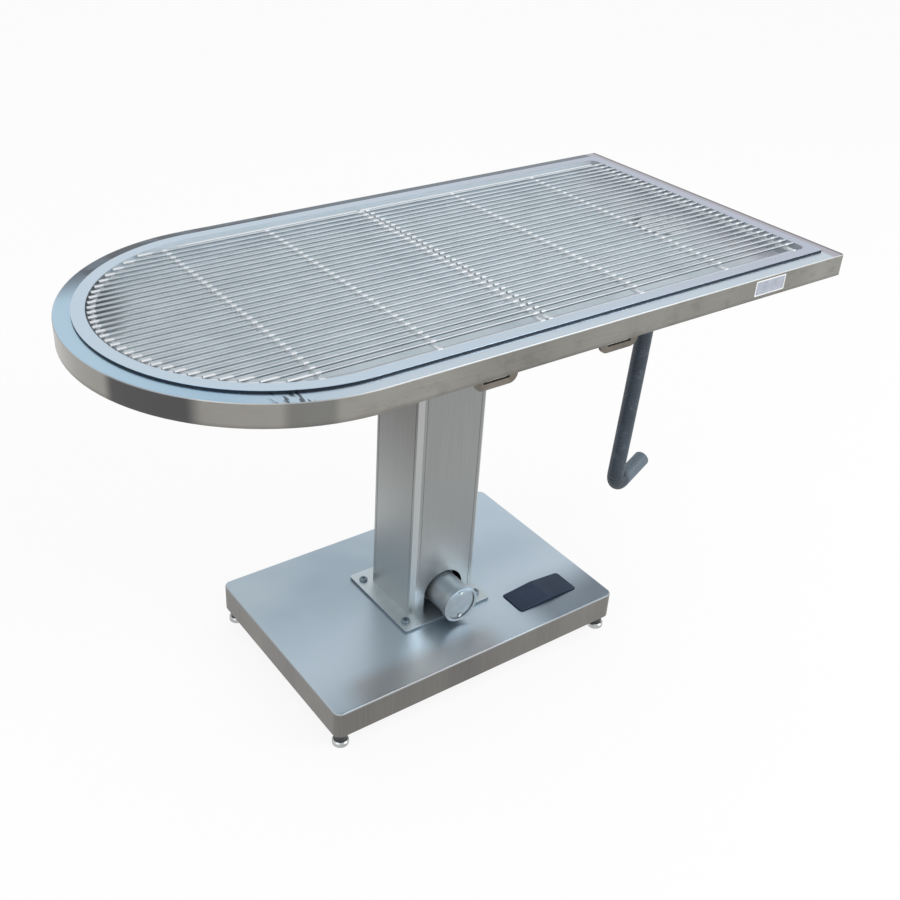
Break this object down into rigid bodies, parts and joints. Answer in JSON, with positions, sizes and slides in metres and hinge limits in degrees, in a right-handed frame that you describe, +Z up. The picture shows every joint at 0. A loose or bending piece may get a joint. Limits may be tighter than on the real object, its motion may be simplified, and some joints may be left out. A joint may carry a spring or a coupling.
{
  "type": "lifting animal treatment table",
  "caption": "Round-ended stainless sink table with lift-out wire grids and a drain hose, on a telescopic electric column with a pedal base and levelling feet.",
  "frame": {"origin": "on the floor under the middle of the column, which is the bottom centre of the table's box", "axes": "+X along the table towards its square end with the drain, +Y towards the back, +Z up"},
  "size_m": [1.1879, 0.6, 0.726],
  "materials": {
    "stainless_top": "satin stainless sheet, polished rim",
    "stainless_grid": "electropolished stainless wire",
    "stainless_base": "brushed stainless sheet",
    "column_aluminium": "satin anodised aluminium",
    "inner_aluminium": "clear anodised aluminium",
    "plate_steel": "zinc-plated steel plate",
    "frame_steel": "grey powder-coated steel",
    "fastener_steel": "bright zinc-plated fasteners",
    "motor_steel": "grey enamelled motor casing",
    "gear_case": "cast gear case",
    "spindle_steel": "rolled steel screw, greased",
    "bronze": "bronze nut",
    "glide_plastic": "black acetal",
    "black_plastic": "black moulded plastic",
    "white_plastic": "white moulded plastic",
    "pedal_plastic": "dark moulded plastic, textured",
    "hose_plastic": "dark ribbed plastic hose",
    "rubber": "black rubber"
  },
  "bodies": {
    "base": {"base_cover": "stainless_base", "base_rail_front": "frame_steel", "base_rail_back": "frame_steel", "base_cross_left": "frame_steel", "base_cross_right": "frame_steel", "base_bearer_front": "frame_steel", "base_bearer_back": "frame_steel", "foot_inserts": "fastener_steel", "foot_jam_nuts": "fastener_steel", "column_flange": "plate_steel", "flange_screws": "fastener_steel", "outer_column": "column_aluminium", "upper_glide": "glide_plastic", "gearbox_housing": "gear_case", "spindle_bearing": "fastener_steel", "motor_can": "motor_steel", "motor_end_cap": "motor_steel", "motor_cap_screws": "fastener_steel", "control_box": "black_plastic", "cable_gland": "black_plastic", "pedal_housing": "black_plastic", "pedal_pin": "fastener_steel", "pedal_switches": "black_plastic", "pedal_buffers": "rubber"},
    "spindle": {"spindle": "spindle_steel"},
    "pedal": {"pedal_rocker": "pedal_plastic"},
    "grid_round": {"grid_round": "stainless_grid"},
    "grid_square": {"grid_square": "stainless_grid"},
    "strainer": {"strainer": "stainless_grid"},
    "pad_front_left": {"foot_pad_front_left": "black_plastic"},
    "stud_front_left": {"foot_stud_front_left": "fastener_steel"},
    "pad_front_right": {"foot_pad_front_right": "black_plastic"},
    "stud_front_right": {"foot_stud_front_right": "fastener_steel"},
    "pad_back_left": {"foot_pad_back_left": "black_plastic"},
    "stud_back_left": {"foot_stud_back_left": "fastener_steel"},
    "pad_back_right": {"foot_pad_back_right": "black_plastic"},
    "stud_back_right": {"foot_stud_back_right": "fastener_steel"},
    "top": {"table_rim": "stainless_top", "sink_tray": "stainless_top", "drain_body": "stainless_grid", "drain_gasket": "rubber", "drain_nut": "white_plastic", "hose_cuff": "hose_plastic", "hose_clamp": "fastener_steel", "drain_hose": "hose_plastic", "tray_pads": "rubber", "inner_column": "inner_aluminium", "lower_glide": "glide_plastic", "top_mount_plate": "frame_steel", "column_screws": "fastener_steel", "nut_plate": "frame_steel", "drive_nut": "bronze", "table_rail_front": "frame_steel", "tie_cleat_front_left": "stainless_top", "tie_cleat_front_right": "stainless_top", "table_rail_back": "frame_steel", "tie_cleat_back_left": "stainless_top", "tie_cleat_back_right": "stainless_top", "support_arm_left": "frame_steel", "support_arm_right": "frame_steel"}
  },
  "joints": [
    {"name": "column_lift", "type": "slide", "parent": "base", "child": "top", "axis": [0, 0, 1], "range_m": [0, 0.36]},
    {"name": "spindle_turn", "type": "hinge", "parent": "base", "child": "spindle", "pos_m": [0, 0, 0.157], "axis": [0, 0, 1], "range_deg": [0, 16202]},
    {"name": "pedal_rock", "type": "hinge", "parent": "base", "child": "pedal", "pos_m": [0.177, -0.1255, 0.07], "axis": [0, 1, 0], "range_deg": [-4, 4], "stiffness_Nm_per_rad": 21},
    {"name": "grid_round_lift", "type": "slide", "parent": "top", "child": "grid_round", "axis": [0, 0, 1], "range_m": [0, 0.06]},
    {"name": "grid_square_lift", "type": "slide", "parent": "top", "child": "grid_square", "axis": [0, 0, 1], "range_m": [0, 0.06]},
    {"name": "strainer_lift", "type": "slide", "parent": "top", "child": "strainer", "axis": [0, 0, 1], "range_m": [0, 0.02]},
    {"name": "foot_height_front_left", "type": "slide", "parent": "base", "child": "pad_front_left", "axis": [0, 0, 1], "range_m": [-0.015, 0]},
    {"name": "foot_turn_front_left", "type": "hinge", "parent": "pad_front_left", "child": "stud_front_left", "pos_m": [-0.2847, -0.1827, 0.02], "axis": [0, 0, 1], "continuous": true},
    {"name": "foot_height_front_right", "type": "slide", "parent": "base", "child": "pad_front_right", "axis": [0, 0, 1], "range_m": [-0.015, 0]},
    {"name": "foot_turn_front_right", "type": "hinge", "parent": "pad_front_right", "child": "stud_front_right", "pos_m": [0.2747, -0.1827, 0.02], "axis": [0, 0, 1], "continuous": true},
    {"name": "foot_height_back_left", "type": "slide", "parent": "base", "child": "pad_back_left", "axis": [0, 0, 1], "range_m": [-0.015, 0]},
    {"name": "foot_turn_back_left", "type": "hinge", "parent": "pad_back_left", "child": "stud_back_left", "pos_m": [-0.2847, 0.1827, 0.02], "axis": [0, 0, 1], "continuous": true},
    {"name": "foot_height_back_right", "type": "slide", "parent": "base", "child": "pad_back_right", "axis": [0, 0, 1], "range_m": [-0.015, 0]},
    {"name": "foot_turn_back_right", "type": "hinge", "parent": "pad_back_right", "child": "stud_back_right", "pos_m": [0.2747, 0.1827, 0.02], "axis": [0, 0, 1], "continuous": true}
  ],
  "couplings": [
    {"joint": "spindle_turn", "follows": "column_lift", "rad_per_m": 785.4}
  ]
}
